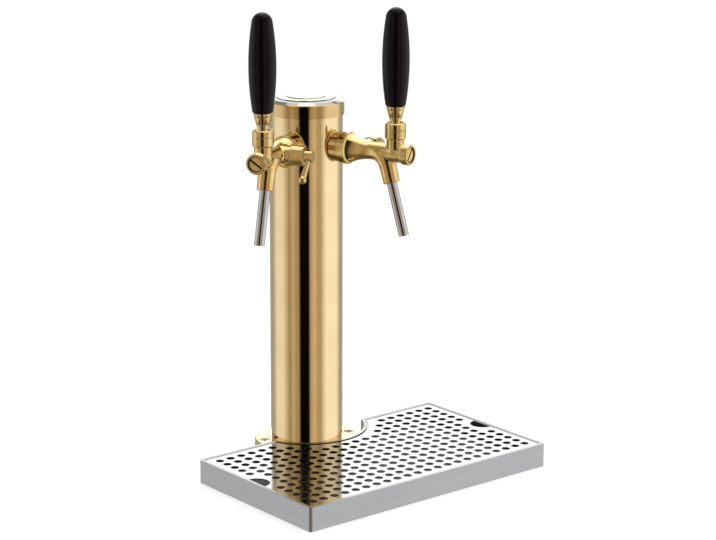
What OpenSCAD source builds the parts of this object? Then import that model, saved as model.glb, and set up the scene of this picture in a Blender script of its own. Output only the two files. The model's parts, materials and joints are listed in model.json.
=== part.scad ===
// Draft beer tower with two compensator taps and a drip tray.
// Millimetres, +Z up. The origin lies on the column's axis at the counter, and the tray lies towards -Y.
// Each tap is drawn along its own +X, which points out of the column, with +Y on its flow lever's side.

/* [Tower] */
// Outside diameter of the column
column_d = 76.2; // [75:0.1:110]
// Wall thickness of the column
column_wall = 1.5; // [1:0.1:2]
// Height of the column's top edge above the counter
column_h = 372; // [300:1:600]
// Depth of the tap axes below the column's top edge
tap_drop = 42; // [36:1:80]
// Angle between the two taps
tap_angle = 80; // [80:1:150]
// Turn of the whole tower on the counter
tower_turn = -21.2; // [-45:0.1:45]

/* [Cap] */
// Length of the cap's skirt below the column's top edge
cap_skirt = 11; // [6:0.5:16]
// Thickness of the cap's skirt
cap_wall = 1.4; // [0.8:0.1:2]
// Height of the cap's rim above the column's top edge
cap_rim_h = 2.9; // [2:0.1:6]
// Chamfer on the cap's outer edge
cap_edge = 0.7; // [0.3:0.1:1]
// Width of the rounded bevel inside the rim
cap_bevel_w = 8; // [4:0.5:12]
// Rise of the rounded bevel
cap_bevel_h = 2.9; // [1:0.1:5]
// Rise of each of the two steps on the cap
cap_step_h = 1; // [0.5:0.1:3]
// Width of the slope of each step
cap_step_w = 0.6; // [0.3:0.1:2]
// Diameter of the raised disc in the middle of the cap
cap_disc_d = 41; // [20:1:50]
// Rise of the cap's crown towards its middle
cap_crown = 0.7; // [0.2:0.1:1.5]
// Depth of the hollow under the cap
cap_hollow_h = 3; // [1:0.5:4]

/* [Base] */
// Diameter of the base flange
flange_d = 111; // [108:1:118]
// Thickness of the base flange
flange_t = 11; // [8:0.5:16]
// Radius on the flange's upper edge
flange_edge_r = 3; // [1:0.5:5]
// Height of the sleeve that holds the column
sleeve_h = 20; // [10:1:40]
// Diameter of the opening for the beer lines
port_d = 64; // [40:1:66]
// Thickness of the rubber base gasket
gasket_t = 1.5; // [1:0.1:3]
// Number of counter bolts
bolt_count = 4; // [3:1:6]
// Pitch circle of the counter bolts
bolt_pcd = 93; // [91:0.5:96]
// Diameter of the bolt holes
bolt_d = 5.5; // [4:0.1:7]
// Diameter of the counterbores for the bolt heads
bolt_head_d = 10; // [8:0.1:11]
// Depth of the counterbores
bolt_head_t = 5; // [3:0.1:7]

/* [Drip tray] */
// Length of the tray
tray_l = 310; // [220:1:500]
// Width of the tray, front to back
tray_w = 183; // [150:1:300]
// Height of the tray
tray_h = 24.7; // [18:0.1:50]
// Distance from the column's axis to the tray's back edge
tray_back = 21; // [0:1:50]
// Sheet thickness of the tray
tray_sheet = 1.2; // [0.8:0.1:2]
// Corner radius of the tray
tray_corner_r = 3; // [2.5:0.5:12]
// Gap between the base flange and the tray's cut-out
cutout_gap = 5.5; // [2:0.5:12]
// Width of the tray's hemmed rim
rim_w = 3.4; // [2:0.1:6]
// Width of the ledge under the grid's edge
ledge_w = 3.8; // [3:0.1:10]
// Thickness of the grid plate
grid_t = 1; // [0.8:0.1:3]
// Depth of the grid's face below the tray's rim
grid_recess = 0.9; // [0:0.1:3]
// Gap between the grid and the tray's rim
grid_gap = 1.5; // [0.5:0.1:3]
// Diameter of the drain holes
hole_d = 8.6; // [3:0.1:9]
// Spacing of the drain holes along the tray
hole_pitch_l = 13.33; // [10:0.01:20]
// Spacing of the drain holes across the tray
hole_pitch_w = 12.7; // [10:0.01:20]
// Least plate between an edge and a hole's centre
hole_land = 7.6; // [6:0.1:12]
// Radius of the finger notches in the grid
notch_r = 13; // [8:0.5:18]

/* [Shank] */
// Diameter of the shank's thread
shank_d = 22.9; // [20:0.1:24]
// Diameter of the shank's flange
shank_flange_d = 29; // [26:0.1:30]
// Thickness of the shank's flange
shank_flange_t = 1.6; // [1:0.1:3]
// Length of the shank's thread in front of its flange
shank_front_l = 2.9; // [2:0.1:3.5]
// Diameter of the wall collar
collar_d = 31; // [29:0.1:34]
// Length of the wall collar outside the column
collar_l = 6.9; // [5:0.1:12]
// Thickness of the spacer inside the column
spacer_t = 4; // [3.5:0.1:5]
// Diameter of the spacer
spacer_d = 30; // [27:0.1:31]
// Width across the flats of the locknut
locknut_af = 29; // [26:0.5:30]
// Thickness of the locknut
locknut_t = 6; // [4:0.1:7]
// Diameter of the thread at the shank's tail
tail_d = 16; // [14:0.1:17]
// Length of the thread at the shank's tail
tail_l = 5; // [4:0.1:6]
// Width across the flats of the tail nut
tail_nut_af = 20; // [18.5:0.5:21]
// Thickness of the tail nut's lip
tail_nut_lip = 2.2; // [1.5:0.1:2.5]
// Diameter of the hose tail's bent tube
tail_tube_d = 8.8; // [8.2:0.1:9.4]
// Diameter of the hose tail's stem
stem_d = 7.94; // [6:0.01:8]
// Length of the hose tail's stem
stem_l = 25; // [15:1:30]
// Bore of the shank's tail
tail_bore_d = 10; // [8:0.1:11]
// Bore of the hose tail
stem_bore_d = 5; // [3:0.1:5.5]
// Bend radius of the hose tail
tail_bend_r = 6.5; // [6:0.1:7]
// Reach of the hose tail below the tap's axis
tail_drop = 45; // [40:1:80]

/* [Coupling] */
// Diameter of the coupling ring
ring_d = 33; // [32:0.1:36]
// Length of the coupling ring
ring_l = 9.3; // [9:0.1:12]
// Thickness of the coupling ring's front lip
ring_lip = 1.8; // [1.2:0.1:2]
// Chamfer on the coupling ring's edges
ring_chamfer = 0.7; // [0.2:0.1:1]
// Diameter of the coupling ring's pocket for the circlip
ring_pocket_d = 25; // [24.6:0.1:26]
// Gap between the coupling ring and the tap body
body_gap = 1.2; // [0.6:0.1:1.5]
// Diameter of the spanner holes in the coupling ring
spanner_d = 3; // [2:0.1:3.2]
// Depth of the spanner holes
spanner_depth = 2.6; // [1:0.1:3]
// Thickness of the coupling seal
seal_t = 1; // [0.8:0.1:1.2]
// Diameter of the tap's tail inside the coupling
body_tail_d = 19.2; // [18:0.1:20]
// Thickness of the circlip
circlip_t = 1.2; // [0.8:0.1:1.3]
// Gap between the circlip's ends
circlip_gap = 6.4; // [4:0.1:8]
// Depth of the circlip's groove
circlip_groove = 0.9; // [0.5:0.1:1.2]

/* [Tap body] */
// Diameter of the tap body at the coupling
flare_d = 29.6; // [24:0.1:30]
// Length of the tapered neck
flare_l = 24.2; // [23:0.1:26]
// Diameter of the barrel
barrel_d = 18; // [17:0.1:19]
// Length of the tap body in front of the coupling
body_l = 70.2; // [69:0.1:79]
// Diameter of the front rim
rim_d = 21; // [20:0.1:24]
// Length of the front rim
rim_l = 7.5; // [6:0.1:9]
// Diameter of the front plug
plug_d = 16; // [14:0.1:17]
// Thickness of the front plug
plug_t = 4.4; // [3:0.1:4.6]
// Depth of the plug's face behind the rim
plug_recess = 1.4; // [0.5:0.1:2]
// Depth of the slot in the plug
plug_slot_depth = 2.6; // [1:0.1:2.8]
// Width of the slot in the plug
plug_slot_w = 2; // [1:0.1:3]
// Turn of the left plug's slot
left_slot_turn = -33; // [-90:1:90]
// Turn of the right plug's slot
right_slot_turn = 55; // [-90:1:90]
// Bore of the chamber for the flow cone
chamber_d = 13; // [12.5:0.1:13.4]
// Bore of the valve
valve_d = 10; // [9:0.1:10.5]

/* [Spout] */
// Place of the spout's axis on the barrel, in front of the coupling
spout_reach = 39.4; // [38:0.1:40]
// Forward lean of the spout
spout_lean = 15.5; // [8:0.5:18]
// Length of the spout boss along its axis
boss_l = 31.8; // [28:0.1:40]
// Diameter of the spout boss at the barrel
boss_root_d = 18.8; // [16:0.1:22]
// Diameter of the spout boss at its mouth
boss_d = 16.8; // [14:0.1:18]
// Bore from the valve down to the spout tube
spout_port_d = 6.2; // [5:0.1:6.4]
// Outside diameter of the spout tube
tube_d = 10.8; // [9:0.1:11]
// Wall of the spout tube
tube_wall = 0.7; // [0.5:0.1:1.5]
// Length of the spout tube below its boss
tube_l = 55; // [30:1:80]
// Depth of the spout tube inside its boss
tube_socket = 15; // [10:0.5:16]

/* [Lever] */
// Place of the lever's axis on the barrel, in front of the coupling
lever_reach = 51.7; // [51.3:0.1:52]
// Height of the lever's pivot above the barrel's axis
pivot_h = 24.6; // [24:0.1:26]
// Length of the lever's lower arm
lever_arm = 9; // [8:0.1:9.5]
// Diameter of the lever's lower arm
lever_arm_d = 2.5; // [2:0.1:2.8]
// Diameter of the lever's ball
lever_ball_d = 11; // [10:0.1:11.5]
// Diameter of the small ball at the lever's lower end
lever_tip_d = 3.6; // [3:0.1:4]
// Diameter of the lever's pivot pin
pivot_pin_d = 3.2; // [2.5:0.1:3.6]
// Diameter of the lever's stem
lever_stem_d = 7; // [6:0.1:7.4]
// Diameter of the stem's thread inside the grip
lever_thread_d = 6; // [5:0.1:6.5]
// Length of the stem's thread inside the grip
lever_thread_l = 30; // [15:1:60]
// Diameter of the lever's socket on the barrel
socket_d = 21.5; // [21:0.1:24]
// Length of the lever's socket
socket_l = 9.6; // [9:0.1:10]
// Diameter of the neck under the socket
neck_d = 17; // [16.4:0.1:18]
// Diameter of the thread between the socket and its nut
bonnet_thread_d = 18; // [17.6:0.1:18.4]
// Gap between the socket and its nut
bonnet_gap = 0.5; // [0.2:0.1:1]
// Height of the pivot above the socket's upper edge
pivot_rise = 0.2; // [0.1:0.1:0.4]
// Height of the bonnet nut
bonnet_h = 6.7; // [6.2:0.1:6.9]
// Height of the thread inside the bonnet nut
bonnet_thread_h = 2.3; // [2:0.1:2.6]
// Chamfer on the bonnet nut's upper edge
bonnet_chamfer = 0.9; // [0.3:0.1:1]
// Width of the flat rim round the bonnet nut's mouth
bonnet_rim = 0.6; // [0.4:0.05:0.8]
// Diameter of the seat ring under the lever's ball
seat_d = 15; // [14.4:0.1:15.4]
// Bore of the seat ring
seat_bore_d = 7.7; // [7:0.1:8]
// Height of the seat ring's underside above the ball's lowest point
seat_rise = 0.5; // [0.3:0.1:0.8]
// Forward pull of the handle, which opens the valve
handle_pull = 20; // [10:1:20]
// Height of the ferrule's foot above the bonnet nut
ferrule_gap = 3.3; // [3.3:0.1:5]
// Depth of the ferrule's neck inside the bonnet nut
ferrule_dip = 1.6; // [0.5:0.1:1.8]
// Diameter of the ferrule's foot, above its neck
ferrule_foot_d = 12.2; // [10:0.1:12.4]
// Upper diameter of the ferrule
ferrule_top_d = 19.4; // [14:0.1:20]
// Height of the ferrule
ferrule_h = 13.4; // [10:0.1:20]

/* [Grip] */
// Length of the grip
grip_l = 99.3; // [80:0.1:140]
// Largest diameter of the grip
grip_d = 27.7; // [24:0.1:34]
// Height of the widest place above the grip's lower end
grip_belly = 46; // [35:0.5:60]
// Radius of the grip's bowed side
grip_bow_r = 285; // [250:1:400]
// Radius of the grip's domed top
grip_dome_r = 10.5; // [9.5:0.1:14]
// Chamfer on the grip's lower edge
grip_chamfer = 1; // [0.3:0.1:2]

/* [Flow control] */
// Place of the flow lever's axis, in front of the coupling
flow_reach = 12.2; // [11:0.1:12.4]
// Diameter of the boss for the flow gland
flow_boss_d = 18; // [17.4:0.1:19]
// Reach of the boss from the barrel's axis
flow_boss_l = 14.3; // [13.4:0.1:15.4]
// Diameter of the flow gland
gland_d = 20.5; // [19.5:0.1:22]
// Length of the flow gland
gland_l = 14; // [12:0.1:16]
// Diameter of the thread between boss and gland
gland_thread_d = 16.8; // [16:0.1:17.2]
// Length of the thread between boss and gland
gland_thread_l = 5.7; // [4:0.1:6]
// Diameter of the flow spindle
spindle_d = 6; // [5:0.1:6.4]
// Section of the O-ring on the spindle
oring_d = 1.9; // [1.5:0.1:2.2]
// Diameter of the spindle's eccentric pin
eccentric_d = 2.5; // [2:0.1:2.6]
// Length of the eccentric pin
eccentric_l = 5; // [4:0.1:5.4]
// Diameter of the flow lever's hub
hub_d = 12; // [10:0.1:14]
// Length of the flow lever's hub
hub_l = 7.7; // [6:0.1:10]
// Length of the flow lever's arm, to its ball
flow_arm = 27; // [20:0.5:40]
// Diameter of the arm at the hub
arm_root_d = 4; // [3:0.1:5]
// Diameter of the arm at its ball
arm_end_d = 6.4; // [4:0.1:7]
// Diameter of the ball at the arm's end
flow_ball_d = 8; // [7.4:0.1:9]
// Forward angle of the flow lever's arm from straight down
flow_angle = 40; // [0:1:60]
// Diameter of the flow cone
cone_d = 10; // [9:0.1:10.2]
// Thickness of the flow cone's fins
fin_t = 1.2; // [0.8:0.1:2]
// Chamfer on the flow cone's front edge
cone_chamfer = 1; // [0.5:0.1:1.5]
// Length of the flow cone
cone_l = 32; // [30:0.5:36]

/* [Piston] */
// Diameter of the piston's waist between its lands
waist_d = 5.2; // [4:0.1:6]
// Length of the piston's rear land, which closes the valve
land_l = 3.6; // [3.4:0.1:4]
// Diameter of the post that the lever's tip moves
post_d = 6; // [5.8:0.1:6.2]
// Section of the seal ring on the piston
piston_seal_d = 1.5; // [1.2:0.1:1.6]

/* [Fits] */
// Radial clearance of pieces that slide, turn or screw together
slip = 0.05; // [0.02:0.01:0.09]
// End play of the coupling ring
ring_play = 0.2; // [0.1:0.05:0.3]
// Clearance round pieces that swing
swing = 0.3; // [0.25:0.05:0.35]

/* [Hidden] */
$fn = 96;
// Overlap that joins two pieces of one solid
eps = 0.01;
// Reach of a cut past the face that it opens
cut = 1;

gold = "#D2AC68";
brass = "#C9A24B";
steel = "#BFC1C3";
bright_steel = "#D8DADC";
black_plastic = "#0D090C";
rubber = "#1A1A1A";
white_plastic = "#E6E4DC";

sides = ["left", "right"];
tower_nodes = ["tower_column", "tower_cap", "base_flange", "base_sleeve", "base_gasket", "tray_pan", "tray_grid"];
tap_nodes = ["wall_collar", "shank", "shank_spacer", "shank_locknut", "tail_nut", "hose_tail",
    "coupling_ring", "coupling_circlip", "coupling_seal", "tap_body", "spout_tube", "front_plug",
    "piston", "piston_seal", "flow_gland", "flow_oring", "flow_lever", "flow_cone",
    "lever_seat", "bonnet_nut", "tap_lever", "lever_pin", "ferrule", "grip"];

// Tower
column_r = column_d / 2;
column_bore_r = column_r - column_wall;
base_top = gasket_t + flange_t;
tap_z = column_h - tap_drop;
cap_r = column_r + slip + cap_wall;
cap_rim_z = column_h + cap_rim_h;
cap_bevel_z = cap_rim_z + cap_bevel_h;

// Tray, from its outline inwards
cutout_r = flange_d / 2 + cutout_gap;
tray_mid_y = -tray_back - tray_w / 2;
grid_inset = rim_w + grid_gap;
grid_z = tray_h - grid_recess - grid_t;
ledge_z = grid_z - tray_sheet;
grid_end = tray_l / 2 - grid_inset;
grid_depth = tray_w - 2 * grid_inset;
grid_cut_r = cutout_r + grid_inset;
hole_rows = floor((grid_depth - 2 * hole_land) / hole_pitch_w) + 1;
hole_cols = 2 * floor((grid_end - hole_land) / hole_pitch_l + 0.5);

// Places along a tap, measured out from the column's axis
collar_x = column_r + collar_l;
shank_flange_x = collar_x + shank_flange_t;
shank_front_x = shank_flange_x + shank_front_l;
ring_x = collar_x + ring_play;
ring_front_x = ring_x + ring_l;
ring_lip_x = ring_front_x - ring_lip;
body_tail_x = shank_front_x + seal_t;
body_x = ring_front_x + body_gap;
circlip_front_x = ring_lip_x - ring_play;
circlip_x = circlip_front_x - circlip_t;
barrel_x = body_x + flare_l;
body_end_x = body_x + body_l;
flow_x = body_x + flow_reach;
spout_x = body_x + spout_reach;
lever_x = body_x + lever_reach;

// Places inside the column
spacer_x = column_bore_r - slip - spacer_t;
locknut_x = spacer_x - locknut_t;
shank_step_x = locknut_x - shank_flange_t / 2;
shank_tail_x = shank_step_x - tail_l;
tail_flange_t = shank_flange_t;
tail_flange_x = shank_tail_x - tail_flange_t;
tail_nut_x = tail_flange_x - slip - tail_nut_lip;
tail_nut_end_x = shank_step_x - slip;
tail_bend_x = tail_nut_x;

// Coupling and flow chamber
ring_bore_d = shank_d + 2 * slip;
circlip_id = body_tail_d - 2 * circlip_groove + 2 * slip;
circlip_od = ring_pocket_d - 2 * swing;
shank_chamber_x = column_bore_r;
fin_d = chamber_d - 4 * slip;
cone_front_x = flow_x + 2 * eccentric_d;
cone_x = cone_front_x - cone_l;

// Valve, from the lever back to the chamber
post_travel = lever_arm * sin(handle_pull);
well_d = post_d + 2 * post_travel + 4 * swing;
well_z = valve_d / 2 + swing;
land_x = barrel_x + swing;
piston_seal_x = land_x + land_l / 2;
piston_guide = post_d;
piston_front_x = lever_x + piston_guide;
piston_rear_x = lever_x - piston_guide;
plug_x = body_end_x - plug_recess - plug_t;

// Lever, measured up from the barrel's axis
socket_top = pivot_h - pivot_rise;
socket_z = socket_top - socket_l;
bonnet_z = socket_top + bonnet_gap;
bonnet_top = bonnet_z + bonnet_h;
bonnet_thread_z = bonnet_z + bonnet_thread_h - swing;
tip_z = pivot_h - lever_arm;
post_top = tip_z + lever_tip_d / 3;
seat_z = pivot_h - lever_ball_d / 2 + seat_rise;
seat_h = lever_ball_d / 4;
pivot_pin_l = bonnet_thread_d - 4 * swing;
bonnet_lip_d = lever_ball_d - swing;
bonnet_lip_z = bonnet_z + bonnet_thread_h;
bonnet_mouth_d = socket_d - 2 * bonnet_chamfer - 2 * bonnet_rim;
ferrule_z = bonnet_top - ferrule_dip;
ferrule_foot_z = bonnet_top + ferrule_gap;
grip_z = ferrule_foot_z + ferrule_h;

// The nut's cup as the handle sees it at full pull, which sets the width of the ferrule's neck
cup_turn = atan((bonnet_mouth_d - bonnet_lip_d) / 2 / (bonnet_top - bonnet_lip_z));
lip_rise = bonnet_lip_z - pivot_h;
pulled_lip_r = bonnet_lip_d / 2 * cos(handle_pull) - lip_rise * sin(handle_pull);
pulled_lip_z = pivot_h + bonnet_lip_d / 2 * sin(handle_pull) + lip_rise * cos(handle_pull);
pulled_cup_r = pulled_lip_r + (ferrule_z - pulled_lip_z) * tan(cup_turn - handle_pull);
ferrule_neck_d = 2 * pulled_cup_r - 3 * swing;

// Flow control, measured out from the barrel's axis
gland_y = flow_boss_l + swing;
gland_end_y = gland_y + gland_l;
gland_thread_y = flow_boss_l + gland_thread_l;
oring_mid_d = spindle_d + oring_d + 2 * slip;
oring_pocket_d = oring_mid_d + oring_d + 2 * slip;
oring_pocket_l = oring_d + 2 * slip;
oring_pocket_y = gland_thread_y + swing;
spindle_y = fin_d / 2 + swing;
eccentric = (spindle_d - eccentric_d) / 2 - slip;
pin_y = spindle_y - eccentric_l;
hub_y = gland_end_y + swing;
hub_end_y = hub_y + hub_l;

// A tap's direction, as a turn about the column's axis
function heading(side) = tower_turn - 90 + (side == "left" ? -1 : 1) * tap_angle / 2;
function slot_turn(side) = side == "left" ? left_slot_turn : right_slot_turn;

module at_tap(side) {
    rotate([0, 0, heading(side)])
    translate([0, 0, tap_z])
    children();
}

module rod_x(from, to, d) {
    translate([from, 0, 0])
    rotate([0, 90, 0])
    cylinder(d = d, h = to - from);
}

module rod_y(from, to, d) {
    translate([0, from, 0])
    rotate([-90, 0, 0])
    cylinder(d = d, h = to - from);
}

module rod_z(from, to, d) {
    translate([0, 0, from])
    cylinder(d = d, h = to - from);
}

// Turns a profile of radius against height about the X axis
module turned() {
    rotate([0, 90, 0])
    rotate_extrude()
    children();
}

module along_spout() {
    translate([spout_x, 0, 0])
    rotate([0, 180 - spout_lean, 0])
    children();
}

module hex_x(from, to, flats) {
    translate([from, 0, 0])
    rotate([0, 90, 0])
    cylinder(d = flats / cos(30), h = to - from, $fn = 6);
}

module tower_column() {
    color(gold)
    difference() {
        rod_z(base_top, column_h, column_d);
        rod_z(base_top - cut, column_h + cut, 2 * column_bore_r);
        for (side = sides) {
            at_tap(side)
            rod_x(0, column_d, shank_d + 2 * swing);
        }
    }
}

module tower_cap() {
    cap_disc_r = cap_disc_d / 2;
    bevel_r = cap_r - cap_bevel_w;
    step_r = bevel_r - cap_step_w;
    disc_z = cap_bevel_z + 2 * cap_step_h;
    color(gold)
    difference() {
        rotate_extrude()
        polygon([
            [0, column_h - cap_skirt],
            [cap_r, column_h - cap_skirt],
            [cap_r, cap_rim_z - cap_edge],
            [cap_r - cap_edge, cap_rim_z],
            [cap_r - cap_bevel_w / 2, cap_rim_z + cap_bevel_h * sin(45)],
            [bevel_r, cap_bevel_z],
            [step_r, cap_bevel_z + cap_step_h],
            [cap_disc_r + cap_step_w, cap_bevel_z + cap_step_h + cap_crown / 2],
            [cap_disc_r, disc_z],
            [0, disc_z + cap_crown],
        ]);
        rod_z(column_h - cap_skirt - cut, column_h, column_d + 2 * slip);
        rod_z(column_h - cut, column_h + cap_hollow_h, 2 * (bevel_r + cap_step_w));
    }
}

module base_flange() {
    color(gold)
    difference() {
        rotate_extrude() {
            translate([0, gasket_t])
            square([flange_d / 2, flange_t - flange_edge_r]);
            translate([0, gasket_t])
            square([flange_d / 2 - flange_edge_r, flange_t]);
            translate([flange_d / 2 - flange_edge_r, base_top - flange_edge_r])
            circle(r = flange_edge_r);
        }
        rod_z(0, base_top + cut, port_d);
        bolt_holes(base_top + cut);
        for (i = [0 : bolt_count - 1]) {
            rotate([0, 0, tower_turn + i * 360 / bolt_count])
            translate([bolt_pcd / 2, 0, 0])
            rod_z(base_top - bolt_head_t, base_top + cut, bolt_head_d);
        }
    }
}

// Sleeve on the flange, which the column slips over
module base_sleeve() {
    color(gold)
    difference() {
        rod_z(base_top, base_top + sleeve_h, 2 * (column_bore_r - slip));
        rod_z(0, base_top + sleeve_h + cut, port_d);
    }
}

module bolt_holes(top) {
    for (i = [0 : bolt_count - 1]) {
        rotate([0, 0, tower_turn + i * 360 / bolt_count])
        translate([bolt_pcd / 2, 0, 0])
        rod_z(-cut, top, bolt_d);
    }
}

module base_gasket() {
    color(rubber)
    difference() {
        rod_z(0, gasket_t, flange_d);
        rod_z(-cut, gasket_t + cut, port_d);
        bolt_holes(gasket_t + cut);
    }
}

// The tray's outline, drawn in from its walls by an inset
module tray_outline(inset) {
    corner_r = max(tray_corner_r - inset, tray_sheet);
    half_l = tray_l / 2 - inset - corner_r;
    half_w = tray_w / 2 - inset - corner_r;
    difference() {
        translate([0, tray_mid_y])
        union() {
            square([2 * (half_l + corner_r), 2 * half_w], center = true);
            square([2 * half_l, 2 * (half_w + corner_r)], center = true);
            for (x = [-half_l, half_l], y = [-half_w, half_w]) {
                translate([x, y])
                circle(r = corner_r);
            }
        }
        circle(r = cutout_r + inset);
    }
}

// Rounds out of both ends of the grid or its ledge
module notches(r) {
    for (x = [-grid_end, grid_end]) {
        translate([x, tray_mid_y])
        circle(r = r);
    }
}

// A block with the basin, the opening between the ledges and the grid's pocket taken out
module tray_pan() {
    color(steel)
    difference() {
        linear_extrude(tray_h)
        tray_outline(0);
        translate([0, 0, tray_sheet])
        linear_extrude(ledge_z - tray_sheet)
        tray_outline(tray_sheet);
        translate([0, 0, ledge_z - cut])
        linear_extrude(tray_h) {
            tray_outline(grid_inset + ledge_w);
            intersection() {
                notches(notch_r + grid_gap);
                tray_outline(rim_w);
            }
        }
        translate([0, 0, grid_z])
        linear_extrude(tray_h)
        tray_outline(rim_w);
    }
}

// Whether a drain hole at x, y leaves enough plate to the cut-out and the notches
function hole_fits(x, y) =
    norm([x, y]) >= grid_cut_r + hole_land
    && norm([grid_end - abs(x), y - tray_mid_y]) >= notch_r + hole_land;

module tray_grid() {
    color(bright_steel)
    translate([0, 0, grid_z])
    difference() {
        linear_extrude(grid_t)
        difference() {
            tray_outline(grid_inset);
            notches(notch_r);
        }
        for (col = [0 : hole_cols - 1], row = [0 : hole_rows - 1]) {
            x = (col - (hole_cols - 1) / 2) * hole_pitch_l;
            y = tray_mid_y + (row - (hole_rows - 1) / 2) * hole_pitch_w;
            if (hole_fits(x, y)) {
                translate([x, y, 0])
                rod_z(-cut, grid_t + cut, hole_d);
            }
        }
    }
}

module wall_collar() {
    color(brass)
    difference() {
        rod_x(column_bore_r, collar_x, collar_d);
        rod_x(0, collar_x + cut, shank_d + 2 * slip);
        rod_z(-collar_d, collar_d, column_d + 2 * slip);
    }
}

module shank() {
    color(brass)
    difference() {
        union() {
            rod_x(shank_tail_x, shank_front_x, tail_d);
            rod_x(shank_step_x, shank_front_x, shank_d);
            rod_x(collar_x, shank_flange_x, shank_flange_d);
        }
        rod_x(shank_tail_x - cut, shank_front_x + cut, tail_bore_d);
        rod_x(shank_chamber_x, shank_front_x + cut, chamber_d);
    }
}

module shank_spacer() {
    color(white_plastic)
    difference() {
        intersection() {
            rod_x(spacer_x, column_r, spacer_d);
            rod_z(-spacer_d, spacer_d, 2 * (column_bore_r - slip));
        }
        rod_x(0, column_r + cut, shank_d + 2 * slip);
    }
}

module shank_locknut() {
    color(brass)
    difference() {
        hex_x(locknut_x, spacer_x, locknut_af);
        rod_x(0, spacer_x + cut, shank_d + 2 * slip);
    }
}

module tail_nut() {
    color(brass)
    difference() {
        hex_x(tail_nut_x, tail_nut_end_x, tail_nut_af);
        rod_x(tail_nut_x + tail_nut_lip, tail_nut_end_x + cut, tail_d + 2 * slip);
        rod_x(0, tail_nut_end_x, tail_tube_d + 2 * slip);
    }
}

// The hose tail's line, from in front of the shank's end through the bend down to a depth below the tap
module tail_line(d, front_x, depth) {
    rod_x(tail_bend_x, front_x, d);
    translate([tail_bend_x, 0, -tail_bend_r])
    rotate([90, 0, 0])
    rotate([0, 0, 90])
    rotate_extrude(angle = 90)
    translate([tail_bend_r, 0])
    circle(d = d);
    translate([tail_bend_x - tail_bend_r, 0, 0])
    rod_z(-depth, -tail_bend_r, d);
}

module hose_tail() {
    color(steel)
    difference() {
        union() {
            tail_line(tail_tube_d, shank_tail_x, tail_drop - stem_l);
            tail_line(stem_d, shank_tail_x, tail_drop);
            rod_x(tail_flange_x, shank_tail_x, tail_d - 2 * slip);
        }
        tail_line(stem_bore_d, shank_tail_x + cut, tail_drop + cut);
    }
}

module coupling_ring() {
    r = ring_d / 2;
    color(brass)
    difference() {
        turned()
        polygon([
            [0, ring_x],
            [r - ring_chamfer, ring_x],
            [r, ring_x + ring_chamfer],
            [r, ring_front_x - ring_chamfer],
            [r - ring_chamfer, ring_front_x],
            [0, ring_front_x],
        ]);
        rod_x(ring_x - cut, shank_flange_x + ring_play, shank_flange_d + 2 * slip);
        rod_x(ring_x, ring_lip_x, ring_bore_d);
        rod_x(shank_front_x + ring_play, ring_lip_x, ring_pocket_d);
        rod_x(ring_x, ring_front_x + cut, body_tail_d + 2 * slip);
        for (turn = [45 : 90 : 315]) {
            rotate([turn, 0, 0])
            translate([(shank_flange_x + ring_front_x) / 2 - ring_play, 0, r - spanner_depth])
            rod_z(0, spanner_depth + cut, spanner_d);
        }
    }
}

module coupling_circlip() {
    color(steel)
    difference() {
        rod_x(circlip_x, circlip_front_x, circlip_od);
        rod_x(0, circlip_front_x + cut, circlip_id);
        translate([circlip_x - cut, -circlip_gap / 2, -circlip_od])
        cube([circlip_t + 2 * cut, circlip_gap, circlip_od]);
    }
}

module coupling_seal() {
    color(rubber)
    difference() {
        rod_x(shank_front_x, body_tail_x, shank_d - 2 * swing);
        rod_x(0, body_tail_x + cut, chamber_d);
    }
}

// The outside of the tap's turned neck, barrel and rim, as radius against place along the axis
module body_profile() {
    barrel_r = barrel_d / 2;
    rise = (flare_d - barrel_d) / 2;
    flare_r = (flare_l * flare_l + rise * rise) / (2 * rise);
    rim_x = body_end_x - rim_l;
    rim_rise = (rim_d - barrel_d) / 2;
    translate([0, body_tail_x])
    square([body_tail_d / 2, body_x - body_tail_x + cut]);
    difference() {
        translate([0, body_x])
        square([flare_d / 2, flare_l]);
        translate([barrel_r + flare_r, barrel_x])
        circle(r = flare_r, $fn = 360);
    }
    translate([0, barrel_x - cut])
    square([barrel_r, body_l - flare_l]);
    polygon([
        [0, rim_x - rim_rise],
        [barrel_r, rim_x - rim_rise],
        [rim_d / 2, rim_x],
        [rim_d / 2, body_end_x - ring_chamfer],
        [rim_d / 2 - ring_chamfer, body_end_x],
        [0, body_end_x],
    ]);
}

// The upright socket that carries the lever, with a bowl under it
module lever_socket() {
    bowl_r = (socket_d - neck_d) / 2;
    translate([lever_x, 0, 0]) {
        rod_z(0, socket_top, neck_d);
        rod_z(0, bonnet_thread_z, bonnet_thread_d);
        rotate_extrude() {
            translate([0, socket_z])
            square([socket_d / 2 - bowl_r, socket_l]);
            translate([0, socket_z + bowl_r])
            square([socket_d / 2, socket_l - bowl_r]);
            translate([socket_d / 2 - bowl_r, socket_z + bowl_r])
            circle(r = bowl_r);
        }
    }
}

module spout_boss() {
    along_spout() {
        cylinder(d1 = boss_root_d, d2 = boss_d, h = boss_l - ring_chamfer);
        translate([0, 0, boss_l - ring_chamfer - eps])
        cylinder(d1 = boss_d, d2 = boss_d - 2 * ring_chamfer, h = ring_chamfer + eps);
    }
}

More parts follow.
